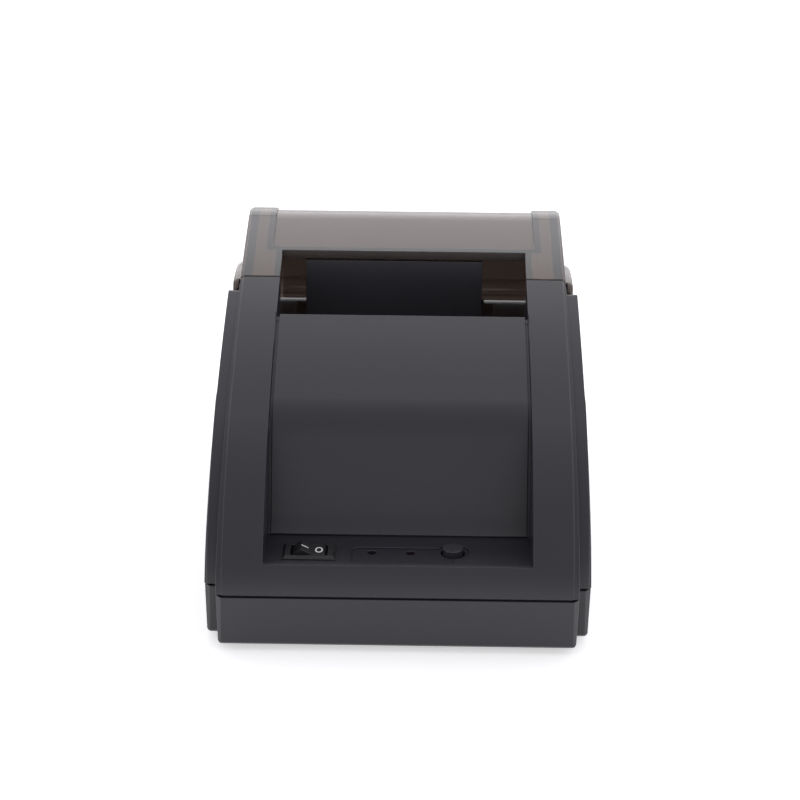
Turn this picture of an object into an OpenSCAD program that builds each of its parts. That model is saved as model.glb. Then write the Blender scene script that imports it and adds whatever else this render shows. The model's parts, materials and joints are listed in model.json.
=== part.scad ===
// A desktop receipt printer. Lengths are millimetres.
// Every module is drawn with the front face at y = 0 and the case seam at z = 0.
// The last line of modules sets the whole thing on the table, centred.

/* [Case] */
// Width across the two arms beside the front panel
case_w = 125; // [120:0.5:132]
// How far a side panel stands out beyond the arm
side_out = 4.5; // [3.5:0.25:6]
// Height of the base below the seam
base_h = 19.5; // [19:0.5:24]
// Wall thickness of the case mouldings
wall = 2.4; // [2.2:0.1:2.6]
// Bevel along the outer edges of the arms
edge = 2.2; // [1.8:0.1:2.6]
// Bevel along the outer edges of the side panels
side_edge = 1; // [0.6:0.1:1.4]
// Inward lean of the upper walls, degrees
upper_lean = 0.8; // [0.4:0.1:1.2]
// Inward lean of the base walls going down, degrees
base_lean = 1.3; // [0.8:0.1:2]
// Open line between base and upper case
seam = 0.8; // [0.6:0.1:1]
// Height of the tongue that locates the two mouldings
tongue_h = 1.8; // [1.2:0.1:2.2]
// Bevel down the upright corners of the base
corner = 2; // [1.4:0.2:2.4]
// Height of the rubber feet under the base
foot_h = 2.2; // [1.6:0.2:4]
// Radius of a rubber foot
foot_r = 6; // [4:0.5:7]

/* [Outline] */
// Lean of the rear wall from upright, degrees
rear_lean = 6; // [5:0.5:7]
// Radius of the front face into the slope
nose_r = 26; // [24:0.5:28]
// Radius of the shoulder above the front face
shoulder_r = 120; // [118:1:122]
// Radius of the long crown
crown_r = 404; // [398:2:410]
// Radius of the rear corner of the crown
rear_r = 28; // [26:0.5:30]
// Set-back of the side panels behind the front face
side_back = 8.6; // [7.6:0.2:10]
// Rear end of the tall part of the side panels
side_end = 112; // [110:0.5:113]

/* [Front panel] */
// Width between the arms at the control floor
recess_w = 92.4; // [90:0.4:94]
// Height of the control floor above the seam
floor_z = 8; // [7.4:0.2:8.6]
// Height of the front rim above the seam
rim_z = 10; // [9.4:0.2:10.6]
// Thickness of the front rim, front to back
rim_t = 2.2; // [1.8:0.2:2.8]
// Distance of the crease behind the front face
crease_y = 31.2; // [29:0.4:32.4]
// Step up from the floor to the sloping panel
crease_step = 0.6; // [0.4:0.1:0.9]
// Slope of the panel, degrees
panel_slope = 70; // [68:1:72]
// Radius where the panel rolls back into the crown
roll_r = 20; // [14:1:24]
// Depth of the panel below the arms at the top
panel_sink = 0.6; // [0.4:0.1:1]
// Width of the shadow line beside the panel
groove_w = 1.3; // [0.8:0.1:1.6]
// Depth of the shadow line beside the panel
groove_d = 1.2; // [0.8:0.1:1.4]
// Depth of the pocket round the lamps and the button
pocket_d = 0.5; // [0.3:0.1:0.7]
// Diameter of the feed button
button_d = 7.2; // [6.6:0.2:7.4]
// Travel of the feed button
button_travel = 0.5; // [0.4:0.1:0.6]
// Diameter of a lamp hole
lamp_d = 3; // [2.6:0.1:3.4]

/* [Switch] */
// Radius of the rocker about its pivot
rocker_r = 7; // [6.8:0.1:7.1]
// Half of the rocker's throw, degrees
rocker_tilt = 13.5; // [10:0.5:14]
// Depth of the rocker, front to back
rocker_deep = 7.4; // [6.4:0.2:8]
// Width of the bezel
bezel_w = 18.5; // [18:0.25:19.5]

/* [Cover] */
// Height of the seat the cover closes on
seat_z = 40; // [39.5:0.25:41]
// Thickness of the smoked cover
skin = 2.2; // [1.8:0.1:2.4]
// Rear end of the arms, where the cover begins
split_y = 115; // [114:0.5:116]
// Width of the paper exit
exit_w = 93; // [92:0.5:94]
// Rear edge of the paper exit
exit_y = 132; // [131:0.25:132.5]
// Step down of the window in the cover
window_sink = 1; // [0.6:0.1:1.2]
// Width of the window in the cover
window_w = 100.8; // [98:0.4:104]
// Height of a skirt of the cover at its front, above the seam
skirt_h = 71; // [69:0.5:72]
// Radius of a skirt's roof
skirt_r = 72; // [70:1:76]
// How far a skirt of the cover stands out beyond the arm
skirt_out = 1.7; // [1.5:0.05:2]
// Gap between cover and case
cover_gap = 0.5; // [0.4:0.1:0.7]
// Radius of the hinge barrel
barrel_r = 4.4; // [4.2:0.1:4.6]
// Radius of the hinge pin
hinge_pin_r = 2; // [1.6:0.1:2.2]

/* [Paper bay] */
// Radius of the bay the roll lies in
bay_r = 26; // [25.5:0.25:26.25]
// Inside width of the bay
bay_w = 63.6; // [62.8:0.4:64]
// Gap between the cover and the wall in front of the roll
bay_gap = 0.9; // [0.5:0.1:3]

/* [Print mechanism] */
// Radius of the rubber roller
roller_r = 5.5; // [5:0.1:5.5]
// Radius of the roller shaft
shaft_r = 2; // [1.8:0.1:2.2]
// Half length of the rubber
roller_l = 29; // [27:0.5:30]
// Gap from the rubber to the print head
head_gap = 0.3; // [0.3:0.05:0.5]
// Gear module
gear_m = 0.6; // [0.58:0.005:0.61]
// Teeth on the roller gear
roller_teeth = 26; // [24:2:26]
// Teeth on the small idler
idler_small = 16; // [14:1:16]
// Teeth on the large idler
idler_large = 30; // [28:1:30]
// Teeth on the motor pinion
pinion_teeth = 12; // [12:1:13]
// Pressure angle of the teeth, degrees
press = 25; // [22:1:26]
// Slack between meshing teeth
slack = 0.09; // [0.06:0.01:0.12]
// Radius of the motor can
motor_r = 9; // [8:0.25:9]
// Radial clearance of every turning fit
fit = 0.05; // [0.03:0.01:0.08]

/* [Board] */
// Thickness of the circuit boards
board_t = 1.6; // [1:0.2:1.6]
// Width of the main board
board_w = 110; // [104:1:112]

/* [Hidden] */
$fn = 64;
// The least gap between parts that stay apart.
step = 0.3;
// How far a cut runs past what it cuts, and a length beyond everything.
past = 1;
far = 400;
// The keys across the joints of a skin, and the overlap of skins, cores and posts.
key = 0.4;
proud = 0.002;
over = 0.5;
skim = 0.01;
core = 1;
rail_t = 6;
sunk = 60;

// The outline in side view.
half = case_w / 2;
side_half = half + side_out;
crown_arcs = [[0, 0], [80, 54, nose_r], [54, 28, shoulder_r], [28, 11.2, crown_r],
    [11.2, rear_lean - 90, rear_r]];
tail = at(crown_arcs, 4)[1] / cos(rear_lean);
crown = concat(crown_arcs, [[rear_lean - 90, rear_lean - 90, tail]]);
case_d = at(crown, 5)[0];
side_start = [[side_back, 0], [80, 52, 42], [52, 28, 103]];
side_top_r = 3;
side_hub = at(side_start, 2) + crown_r * [sin(28), -cos(28)];
side_turn = asin((side_hub[0] - side_end + side_top_r) / (crown_r - side_top_r));
side_arcs = concat(side_start, [[28, side_turn, crown_r], [side_turn, -90, side_top_r]]);
side_path = concat(side_arcs, [[-90, -90, at(side_arcs, 4)[1] - seat_z]]);
side_inset = 6;
side_rear = case_d - side_inset;
side_lap = 40;
zone_x = half - 1.1;
sole = 1.2;
inner_edge = 1;
side_lean = 1.4;

// The front panel, its control floor and what stands in it.
rim_y = 4;
roll_in = 14;
panel_foot = [[crease_y, floor_z + crease_step], [panel_slope / 2, panel_slope, roll_in]];
crown_hub = hub(crown, 3);
panel_r = crown_r - panel_sink;
panel_u = [cos(panel_slope), sin(panel_slope)];
panel_q = at(panel_foot, 1) + roll_r * [sin(panel_slope), -cos(panel_slope)] - crown_hub;
panel_off = panel_q * panel_u;
panel_run = sqrt(pow(panel_off, 2) - panel_q * panel_q + pow(panel_r - roll_r, 2)) - panel_off;
panel_roll = panel_q + panel_run * panel_u;
panel_meet = atan2(-panel_roll[0], panel_roll[1]);
panel_end = 95;
groove_over = 0.2;
panel_last = asin((crown_hub[0] - panel_end) / panel_r);
panel = concat(panel_foot, [[panel_slope, panel_slope, panel_run], [panel_slope, panel_meet, roll_r],
    [panel_meet, panel_last, panel_r]]);
recess_half = recess_w / 2;
recess_open = 0.6;
recess_top = 70;
above = 100;

button_at = [19.1, 19.9];
button_r = button_d / 2;
button_gap = 0.5;
button_flange = 1;
button_top = floor_z + 1.6;
lamps = [[-9.3, 19.6], [4.3, 19.6]];
pocket_x = [-16.3, button_at[0]];
pocket_y = [9, 22.6];
pocket_r = 3;
pocket_ring = 5.6;
lamp_deep = 2;
lamp_gap = 0.15;
lamp_foot_r = 1.9;
floor_under = floor_z - wall;

// The rocker switch.
rocker_at = [-31, floor_z - 3.4];
rocker_y = 17.6;
bezel_y = 11.2;
bezel_h = 1.2;
bezel_edge = 0.9;
bezel_z = floor_z + bezel_h;
housing_w = bezel_w - 1.3;
housing_y = 10;
housing_z = -4;
housing_t = 0.8;
housing_gap = 0.1;
well_w = 2 * sqrt(pow(rocker_r, 2) - pow(floor_z - rocker_at[1], 2)) + 0.66;
vertex_h = 4.73;
trunnion_r = 1.2;
keel = [1.5, 3.5];

// The deck over the bay, and the cover.
deck_t = 2.4;
exit_half = exit_w / 2;
bay_hole = [36.5, 130, 189];
open_z = 0.4;
skirt_half = half + skirt_out;
skirt_gap = 0.6;
skirt_low = seat_z - 2;
skirt = [[side_end + skirt_gap, skirt_low], [90, 90, skirt_h - skirt_low], [90, 6, 3], [6, -78, skirt_r]];
hinge_z = seat_z + barrel_r + 0.8;
hinge_y = case_d - hinge_z * tan(rear_lean) - barrel_r / cos(rear_lean);
ear = [half - 10.2, half - 5.5];
ear_r = 4;
ear_gap = 0.6;
barrel_gap = 0.4;
notch_y = hinge_y - 6;
notch_z = hinge_z + barrel_r + 1.1;
hinge_x = ear[0] - step;
pin_x = ear[1] + 0.4;
window_z = 62;
window_y = exit_y + 2.5;
exit_top = hub(crown, 3)[1] + sqrt(pow(crown_r, 2) - pow(exit_y - hub(crown, 3)[0], 2));
flange_end = exit_y + 2.2;
flange_t = 2.3;
flange_h = 9;
window_rim = 1.2;
window_r = 3;
cover_inner_edge = 0.8;

// The print mechanism.
mech_x = -3.6;
roller_at = [118, 38];
idler_reach = gear_m * (roller_teeth + idler_small) / 2;
idler_turn = -95;
idler_at = roller_at + idler_reach * [cos(idler_turn), sin(idler_turn)];
motor_reach = gear_m * (idler_large + pinion_teeth) / 2;
motor_turn = -70;
motor_at = idler_at + motor_reach * [cos(motor_turn), sin(motor_turn)];
frame_x = [31, 33];
frame_y = [99.5, 131];
frame_z = [-1, 47];
frame_top = 44.5;
sheet_t = 1.5;
brace_top = 33;
tab_l = 6.5;
tab_r = 4;
bush_r = 4;
bush_rim_r = 5;
bush_rim_t = 0.6;
rubber_t = 2;
pivot_at = [109.4, 17.5];
pivot_lug = 2.6;
lever_at = [104.9, 38.5];
head_y = roller_at[0] - roller_r - head_gap;
sink_y = head_y - 3.6;
sink_z = [20, 45];
ceramic_t = 0.6;
glaze_t = 0.2;
glaze_half = 1.5;
lug_x = [21, 27];
hook_half = 10;
hook_y = 100.1;
hook_t = 1.6;
hook_low = 36.5;
flex_half = 10;
head_half = 30.5;
slow_x = [-41.5, -38];
fast_x = [-37.5, -34.5];
spring_t = 0.3;
spring_gap = 0.02;
spring_lean = 50;
spring_x = [12, 20];
spring_w = 5;
cam_r = 2.8;
cam_e = 1.2;
cam_x = [3, 7];
lever_t = 3;
lever_w = 3.6;
lever_l = 19;
lever_tip_r = 2.6;
lever_rest = 105;
pin_r = 1.5;
axle_head_r = 2.6;
axle_head_t = 0.8;
motor_end = -14;
motor_flange = 1;
motor_lug_r = 2.2;
boss_r = 3;
rotor_r = 1;
rotor_end = -24;
tear_y = 125;
tear_t = 0.8;
tear_low = 40;
tear_pitch = 1.55;
tear_teeth = 40;
tear_deep = 0.7;
guide_r = roller_at[1] - 31.7;
guide_t = 1.5;
guide_down = -38;
guide = [roller_at + guide_r * below(-40), [-40, -10, guide_r], [-10, guide_down, 5],
    [guide_down, guide_down, 15.4]];
sensor_x = 10;
sensor_w = 5;
sensor_l = 6;
sensor_in = 3;
sensor_t = 2.6;
// The bay.
bay_at = [exit_y + 2.6 + bay_r, 28];
bay_half = bay_w / 2;
bay_t = 2.2;
bay_lip = seat_z + 1.5;
bay_lap = 4;
cheek_r = 35;
cheek_lap = 5;
slot_in = 1.3;
slot_z = [20, 26];
bay_top = exit_top - skin - window_sink - bay_gap;

// The boards, the leads, the screws and the posts they go into.
floor_in = wall - base_h;
board_y = [131, 191.5];
board_z = floor_in + 3.6;
board_top = board_z + board_t;
panel_board_z = -2.5;
tact_rise = 2.5;
tact_top = 4.5;
terminal_z = housing_z - 3;
wire_bend = 2;
wire_z = board_top + 1.6;
wire_r = 0.7;
wire_x = [-2.5, 2.5];
ribbon_t = 0.8;
motor_lead = [-22, -16];
panel_lead = [16, 24];
plug_l = 7;
plug_h = 3.4;
tact_w = 6;
tact_h = 3.5;
plunger_r = 1.75;
screw_r = 1.48;
small_screw_r = 1;
head_h = 1.8;
slot_l = 0.6;
slot_half = 0.3;
slot_up = -0.8;
thread_gap = 0.02;
hole_gap = 0.12;
pillar_gap = 0.2;
head_hole_r = 3.2;
head_up = 9;
case_screw = 10;
frame_screw = 8;
board_screw = 3;
board_bore = 3.4;
panel_screw = 4;
pillar_r = 4.2;
pillar_up_r = 3.8;
pillar_top = 60;
pillar_room = 0.5;
frame_post_r = 3.5;
board_post_r = 3;
panel_post_r = 2.4;
foot_seat = 0.6;
pillars = [[half - 8.1, 26], [half - 8.1, 170]];
frame_posts = [[38.5, 103.5], [38.5, 127]];
post_gap = 2.2;
board_post_x = pillars[0][0] - pillar_r - board_post_r - post_gap;
board_posts = [[board_post_x, 137], [board_post_x, 172]];
panel_posts = [[-14.5, 12.5], [26, 12.5], [-14.5, 24.5], [26, 24.5]];
feet = [[half - 16.5, 16], [half - 16.5, 182]];
sockets = [[13 - board_w / 2, 9.2, 11], [-15, 12, 10.9], [14, 13.2, 11.2]];
socket_y = [178, case_d - 0.3];
rear_cut = 8;
jack_deep = 9;
jack_r = 3.1;
jack_pin_r = 1;

// A path is a start point, then arcs and lines as [heading in, heading out, radius or length].
function turn(s) = sign(s[0] - s[1]);
function step_of(s) = s[0] == s[1] ? s[2] * [cos(s[0]), sin(s[0])]
    : turn(s) * s[2] * [sin(s[0]) - sin(s[1]), cos(s[1]) - cos(s[0])];
function at(path, i) = i == 0 ? path[0] : at(path, i - 1) + step_of(path[i]);
function last(path) = len(path) - 1;
function below(h) = [sin(h), -cos(h)];
function hub(path, i) = at(path, i - 1) + turn(path[i]) * path[i][2] * below(path[i][0]);
function fine(r) = r > 200 ? 1440 : r > 15 ? 360 : 96;
function heading(path, i) = i < last(path) ? path[i + 1][0] : path[i][1];

// Turns a drawing in the side view, depth across and height up, into the part's frame.
module across() { rotate([90, 0, 90]) children(); }

// Turns a drawing in the front view into the part's frame, as long as the whole depth.
module through() { rotate([90, 0, 0]) linear_extrude(2 * far, center = true) children(); }

module both() {
    children();
    mirror([1, 0, 0]) children();
}

module pair(list, z) {
    both() for (p = list) translate([p[0], p[1], z]) children();
}

// The bay and the mechanism sit to the left of the middle of the case.
module shifted() { translate([mech_x, 0, 0]) children(); }

// Points along a path at a depth below it, close enough together to lie inside the skin.
function along(path, deep) = [for (i = [1 : last(path)])
    let(s = path[i], n = max(1, ceil(abs(s[0] - s[1]) / 4)))
    for (k = [0 : (i == last(path) ? n : n - 1)])
    turn(s) == 0 ? at(path, i - 1 + k) + deep * below(s[0])
    : hub(path, i) + (deep - turn(s) * s[2]) * below(s[0] + (s[1] - s[0]) * k / n)];

// The part of one arc or line of a path that lies between two depths.
module span(path, i, d0, d1) {
    s = path[i];
    t = turn(s);
    hi = max(s[2] - t * d0, s[2] - t * d1);
    lo = min(s[2] - t * d0, s[2] - t * d1);
    if (t == 0) translate(at(path, i - 1)) rotate(s[0]) translate([0, -d1]) square([s[2], d1 - d0]);
    else intersection() {
        translate(hub(path, i)) difference() {
            circle(hi, $fn = fine(s[2]));
            if (lo > 0) circle(lo, $fn = fine(s[2]));
        }
        wedge(hub(path, i), s, s[2] + abs(d1) + abs(d0));
    }
}

// The slice that an arc fills, as seen from its hub, out past the arc.
module wedge(p, s, wide) {
    polygon(concat([p], [for (k = [0 : 4]) p - turn(s) * wide * 1.3 * below(s[0] + (s[1] - s[0]) * k / 4)]));
}

// A band that follows a path between two depths, with a short key across every joint.
module band(path, d0, d1) {
    for (i = [1 : last(path)]) span(path, i, d0, d1);
    for (i = [1 : last(path) - 1]) translate(at(path, i)) rotate(heading(path, i))
        translate([-key, -d1 - proud]) square([2 * key, d1 - d0 + 2 * proud]);
}

function closed(points) = concat(points, [[points[len(points) - 1][0], -sunk], [points[0][0], -sunk]]);

// Everything under a path.
module under(path, inset = 0) {
    band(path, inset, inset + 2 * core);
    polygon(closed(along(path, inset + core)));
}

module sheet(path, d0, d1, x0, x1) {
    translate([x0, 0, 0]) across() linear_extrude(x1 - x0) band(path, d0, d1);
}

// One length of the bevelled skin of a body that follows a path.
function skin_line(r, w, bevel) = let(lo = max(0, r - rail_t))
    [[lo, -w], [r - bevel, -w], [r, bevel - w], [r, w - bevel], [r - bevel, w], [lo, w]];

module rail(path, i, w, inset, bevel) {
    s = path[i];
    if (turn(s) == 0) translate(at(path, i - 1)) rotate(s[0]) straight_rail(s[2], w, -inset, bevel);
    else translate(hub(path, i)) rotate(s[1] + 90) rotate_extrude(angle = s[0] - s[1], $fn = fine(s[2]))
        polygon(skin_line(s[2] - inset, w, bevel));
}

module straight_rail(long, w, top, bevel) {
    translate([0, top - rail_t, 0]) across() linear_extrude(long) polygon(skin_line(rail_t, w, bevel));
}

// A solid under a path of outward bends, w to each side, with bevelled edges.
module body(path, w, inset, bevel) {
    across() {
        linear_extrude(2 * w, center = true) polygon(closed(along(path, inset + over)));
        for (i = [1 : last(path)]) rail(path, i, w, inset, bevel);
        for (i = [1 : last(path) - 1]) translate(at(path, i)) rotate(heading(path, i))
            translate([-key, 0, 0]) straight_rail(2 * key, w, proud - inset, bevel);
    }
}

// A front view that narrows upward, cut through the whole depth.
module narrowing(w, lo, hi, lean) {
    a = w - lo * tan(lean);
    b = w - hi * tan(lean);
    through() polygon([[-a, lo], [a, lo], [b, hi], [-b, hi]]);
}

module block(x0, x1, y0, y1, z0, z1) {
    translate([x0, y0, z0]) cube([x1 - x0, y1 - y0, z1 - z0]);
}

// A round bar across the case, with its middle at p in the side view.
module rod(p, r, x0, x1) {
    translate([x0, 0, 0]) across() translate(p) cylinder(r = r, h = x1 - x0);
}

module rounded(x0, x1, y0, y1, r) {
    translate([x0 + r, y0]) square([x1 - x0 - 2 * r, y1 - y0]);
    translate([x0, y0 + r]) square([x1 - x0, y1 - y0 - 2 * r]);
    for (x = [x0 + r, x1 - r]) for (y = [y0 + r, y1 - r]) translate([x, y]) circle(r);
}

// The plan of the case at the seam.
module plan(w, y0, y1, inset) {
    x = w - inset;
    c = corner;
    a = y0 + inset;
    b = y1 - inset;
    polygon([[-x, a + c], [c - x, a], [x - c, a], [x, a + c],
        [x, b - c], [x - c, b], [c - x, b], [-x, b - c]]);
}

module case_plan(inset) {
    plan(half, 0, case_d, inset);
    plan(side_half, side_back, side_rear, inset);
}

// Half of the base tub: it leans inward going down and has a bevel round its floor.
module tub(w, y0, y1, inset, deep) {
    intersection() {
        translate([0, 0, -deep]) linear_extrude(deep) plan(w, y0, y1, inset);
        through() tub_view(inset - w, w - inset, deep);
        across() linear_extrude(2 * far, center = true) tub_view(y0 + inset, y1 - inset, deep);
    }
}

module tub_view(a, b, deep) {
    t = tan(base_lean);
    h = deep - sole;
    foot = deep * t + sole;
    polygon([[a, 0], [b, 0], [b - h * t, -h], [b - foot, -deep], [a + foot, -deep], [a + h * t, -h]]);
}

module base_solid(inset, deep) {
    tub(half, 0, case_d, inset, deep);
    tub(side_half, side_back, side_rear, inset, deep);
}

// The openings that the rear sockets look out of, between two heights.
module socket_ports(z0, more) {
    for (s = sockets) {
        w = s[1] / 2 + step;
        block(s[0] - w, s[0] + w, socket_y[1] - rear_cut, far, z0, s[2] + more);
    }
}

module bottom_case() color([0.19, 0.19, 0.21]) difference() {
    union() {
        difference() {
            base_solid(0, base_h);
            base_solid(wall, base_h - wall);
            block(-far, far, -far, far, -seam, past);
        }
        difference() {
            translate([0, 0, -seam - past]) linear_extrude(seam + past + tongue_h) case_plan(wall / 2);
            translate([0, 0, -seam - 2 * past]) linear_extrude(seam + 3 * past + tongue_h) case_plan(wall);
        }
        pair(pillars, floor_in - over) cylinder(r = pillar_r, h = over - floor_in);
        shifted() pair(frame_posts, floor_in - over)
            cylinder(r = frame_post_r, h = frame_z[0] - floor_in + over);
        pair(board_posts, floor_in - over) cylinder(r = board_post_r, h = board_z - floor_in + over);
    }
    pair(pillars, -base_h - past) cylinder(r = screw_r + pillar_gap, h = base_h + 2 * past);
    pair(pillars, -base_h - past) cylinder(r = head_hole_r, h = head_up + past);
    shifted() pair(frame_posts, frame_z[0] - frame_screw)
        cylinder(r = screw_r + thread_gap, h = frame_screw + past);
    pair(board_posts, board_z - board_bore) cylinder(r = screw_r + thread_gap, h = board_bore + past);
    pair(feet, -base_h - past) cylinder(r = foot_r, h = foot_seat + past);
    socket_ports(board_top - step, far);
}

// The part of a side panel that runs on behind its tall part, up to the seat of the cover.
module side_block(inset) {
    rear = side_rear - inset;
    bottom = -2 * past;
    intersection() {
        translate([0, 0, -past]) linear_extrude(seat_z + past - inset)
            plan(side_half + over, side_end - side_lap, side_rear, inset);
        across() linear_extrude(2 * far, center = true)
            polygon([[0, bottom], [rear, bottom], [rear, 0],
                [rear - seat_z * tan(rear_lean), seat_z], [0, seat_z]]);
    }
}

module upper_solid(inset) {
    lo = inset > 0 ? -past : 0;
    intersection() {
        body(crown, half - inset + over, inset, over + (inset > 0 ? inner_edge : edge));
        narrowing(half - inset, lo, above, upper_lean);
    }
    intersection() {
        union() {
            body(side_path, side_half - inset + over, inset, inset > 0 ? 0 : over + side_edge);
            side_block(inset);
        }
        narrowing(side_half - inset, lo, above, upper_lean * side_lean);
    }
}

module front_floor(inset) {
    inner = inset > 0 ? past : 0;
    slab(rim_y + rim_t + inner, rim_z - inset);
    slab(crease_y + 2 * wall, floor_z - inset);
    under(panel, inset);
}

// In the side view, everything below a height, back to a depth.
module slab(y, z) { translate([-wall, -sunk]) square([y + wall, z + sunk]); }

// The hollow of the front between the arms, above the floor and the panel.
module recess(inset, widen) {
    w = recess_half + widen;
    t = w + recess_open;
    intersection() {
        through() polygon([[-w, 0], [w, 0], [t, recess_top], [t, above], [-t, above], [-t, recess_top]]);
        across() linear_extrude(case_w, center = true) difference() {
            translate([-nose_r, floor_under - wall]) square([panel_end + nose_r, above]);
            front_floor(inset);
        }
    }
}

module cover_zone() {
    block(-far, far, split_y, far, seat_z, far);
    both() block(zone_x, far, side_end - skim, far, seat_z, far);
}

// Everything that stands up inside the upper case, before it is cut to the outline.
module inner_walls() {
    block(-far, far, panel_end - wall, far, seat_z - deck_t, seat_z);
    both() block(exit_half, exit_half + wall, panel_end - wall, split_y, seat_z - deck_t, far);
    both() block(exit_half, zone_x, split_y - wall, split_y, seat_z - deck_t, far);
    pair(pillars, 0) cylinder(r = pillar_up_r, h = pillar_top);
}

module panel_wall() {
    intersection() {
        block(-exit_half - past, exit_half + past, panel_end - wall, panel_end, seat_z - deck_t, far);
        across() linear_extrude(case_w, center = true) under(panel, core);
    }
}

module hinge_ears() {
    both() translate([ear[0], 0, 0]) across() linear_extrude(ear[1] - ear[0]) {
        translate([hinge_y, hinge_z]) circle(ear_r);
        translate([hinge_y - ear_r, seat_z - deck_t]) square([2 * ear_r, hinge_z - seat_z + deck_t]);
    }
}

module top_case() color([0.17, 0.17, 0.19]) difference() {
    union() {
        difference() {
            upper_solid(0);
            difference() {
                upper_solid(wall);
                recess(wall, wall);
            }
            cover_zone();
            recess(0, 0);
            both() sheet(panel, -groove_over, groove_d,
                recess_half + recess_open - groove_w, recess_half + recess_open / 2);
        }
        intersection() {
            inner_walls();
            difference() {
                upper_solid(core);
                cover_zone();
                recess(core, over);
            }
        }
        panel_wall();
        hinge_ears();
        for (p = panel_posts) translate([p[0], p[1], panel_board_z])
            cylinder(r = panel_post_r, h = floor_under - panel_board_z + over);
    }
    block(-exit_half, exit_half, panel_end, bay_hole[1], seat_z - deck_t - past, far);
    shifted() block(-bay_hole[0], bay_hole[0], bay_hole[1] - past, bay_hole[2],
        seat_z - deck_t - past, seat_z + past);
    difference() {
        translate([0, 0, -past]) linear_extrude(tongue_h + past) case_plan(wall / 2);
        translate([0, 0, -2 * past]) linear_extrude(tongue_h + 3 * past) case_plan(wall + over);
    }
    rod([hinge_y, hinge_z], hinge_pin_r + fit, -ear[1] - past, ear[1] + past);
    pair(pillars, -past) cylinder(r = screw_r + thread_gap, h = case_screw + 2 * past);
    for (p = panel_posts) translate([p[0], p[1], panel_board_z - past])
        cylinder(r = small_screw_r + thread_gap, h = panel_screw + 2 * past);
    front_cuts();
    socket_ports(-past, board_top + step);
}

// The pocket in the control floor, and the holes for the button, the lamps and the switch.
module front_cuts() {
    translate([0, 0, floor_z - pocket_d]) linear_extrude(rim_z) {
        rounded(pocket_x[0], pocket_x[1], pocket_y[0], pocket_y[1], pocket_r);
        translate(button_at) circle(pocket_ring);
    }
    translate([button_at[0], button_at[1], 0]) cylinder(r = button_r + button_gap, h = rim_z);
    for (p = lamps) translate([p[0], p[1], 0]) cylinder(r = lamp_d / 2, h = rim_z);
    block(rocker_at[0] - housing_w / 2 - housing_gap, rocker_at[0] + housing_w / 2 + housing_gap,
        rocker_y - housing_y / 2 - housing_gap, rocker_y + housing_y / 2 + housing_gap, 0, rim_z);
}

module cover_shape(inset) {
    intersection() {
        body(crown, half - inset + over, inset, over + (inset > 0 ? cover_inner_edge : edge));
        narrowing(half - inset, 0, above, upper_lean);
    }
    body(skirt, skirt_half - inset, inset, inset > 0 ? 0 : side_edge);
}

// The space the cover may fill: behind the arms, over the seat, and round the hinge barrel.
module cover_space() {
    lo = seat_z + open_z;
    difference() {
        block(-far, far, split_y + cover_gap, far, lo, far);
        block(-far, far, hinge_y, far, 0, hinge_z);
    }
    both() block(skirt_half - skin, far, side_end, far, lo, far);
    intersection() {
        rod([hinge_y, hinge_z], barrel_r + barrel_gap, -far, far);
        block(-far, far, hinge_y - past, far, lo, far);
    }
}

module paper_cover() color([0.45, 0.44, 0.43, 0.6]) {
    difference() {
        intersection() {
            union() {
                difference() {
                    cover_shape(0);
                    cover_shape(skin);
                }
                sheet(crown, over, skin + window_sink, -window_w / 2 - window_rim, window_w / 2 + window_rim);
                intersection() {
                    both() sheet(crown, over, flange_h, exit_half, exit_half + flange_t);
                    block(-half, half, 0, flange_end, 0, far);
                }
            }
            cover_space();
        }
        block(-exit_half, exit_half, 0, exit_y, 0, far);
        intersection() {
            sheet(crown, -over, window_sink, -half, half);
            translate([0, 0, window_z]) linear_extrude(far)
                rounded(-window_w / 2, window_w / 2, window_y, far, window_r);
        }
        both() block(hinge_x, ear[1] + ear_gap, notch_y, far, 0, notch_z);
    }
    rod([hinge_y, hinge_z], barrel_r, -hinge_x, hinge_x);
    rod([hinge_y, hinge_z], hinge_pin_r, -pin_x, pin_x);
}

module paper_well() color([0.16, 0.16, 0.18]) shifted() {
    front = bay_at[0] - bay_r - bay_t;
    outer = bay_r + bay_t;
    difference() {
        union() {
            across() linear_extrude(2 * (bay_half + bay_t), center = true) well_profile(front, outer);
            both() translate([bay_half, 0, 0]) across() linear_extrude(bay_t) well_cheek(front, outer);
            both() block(bay_half + past, bay_hole[0] + bay_lap,
                front + bay_lap, hinge_y - barrel_r - 2, seat_z, bay_lip);
        }
        block(slot_in - bay_half, bay_half - slot_in,
            front - past, front + bay_t + 2 * past, slot_z[0], slot_z[1]);
        rod([hinge_y, hinge_z], barrel_r + barrel_gap + over, -far, far);
    }
}

// The trough that the roll lies in, with the tall wall in front of it.
module well_profile(front, outer) {
    difference() {
        union() {
            intersection() {
                translate(bay_at) circle(outer);
                translate([front, bay_at[1] - outer]) square([2 * outer, seat_z - bay_at[1] + outer]);
            }
            translate([front, bay_at[1]]) square([bay_t, bay_top - bay_at[1]]);
        }
        translate(bay_at) circle(bay_r);
        translate([front + bay_t, bay_at[1]]) square([bay_r, far]);
    }
}

// A side of the trough, which sweeps up to the top of the front wall.
module well_cheek(front, outer) {
    intersection() {
        translate(bay_at) circle(outer - over);
        translate([front, 0]) square([2 * outer, bay_lip]);
    }
    difference() {
        translate([front, bay_at[1]]) square([bay_at[0] + cheek_lap - front, bay_top - bay_at[1]]);
        translate([front + cheek_r + bay_t + 0.4, bay_top + 2]) circle(cheek_r);
    }
}

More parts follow.
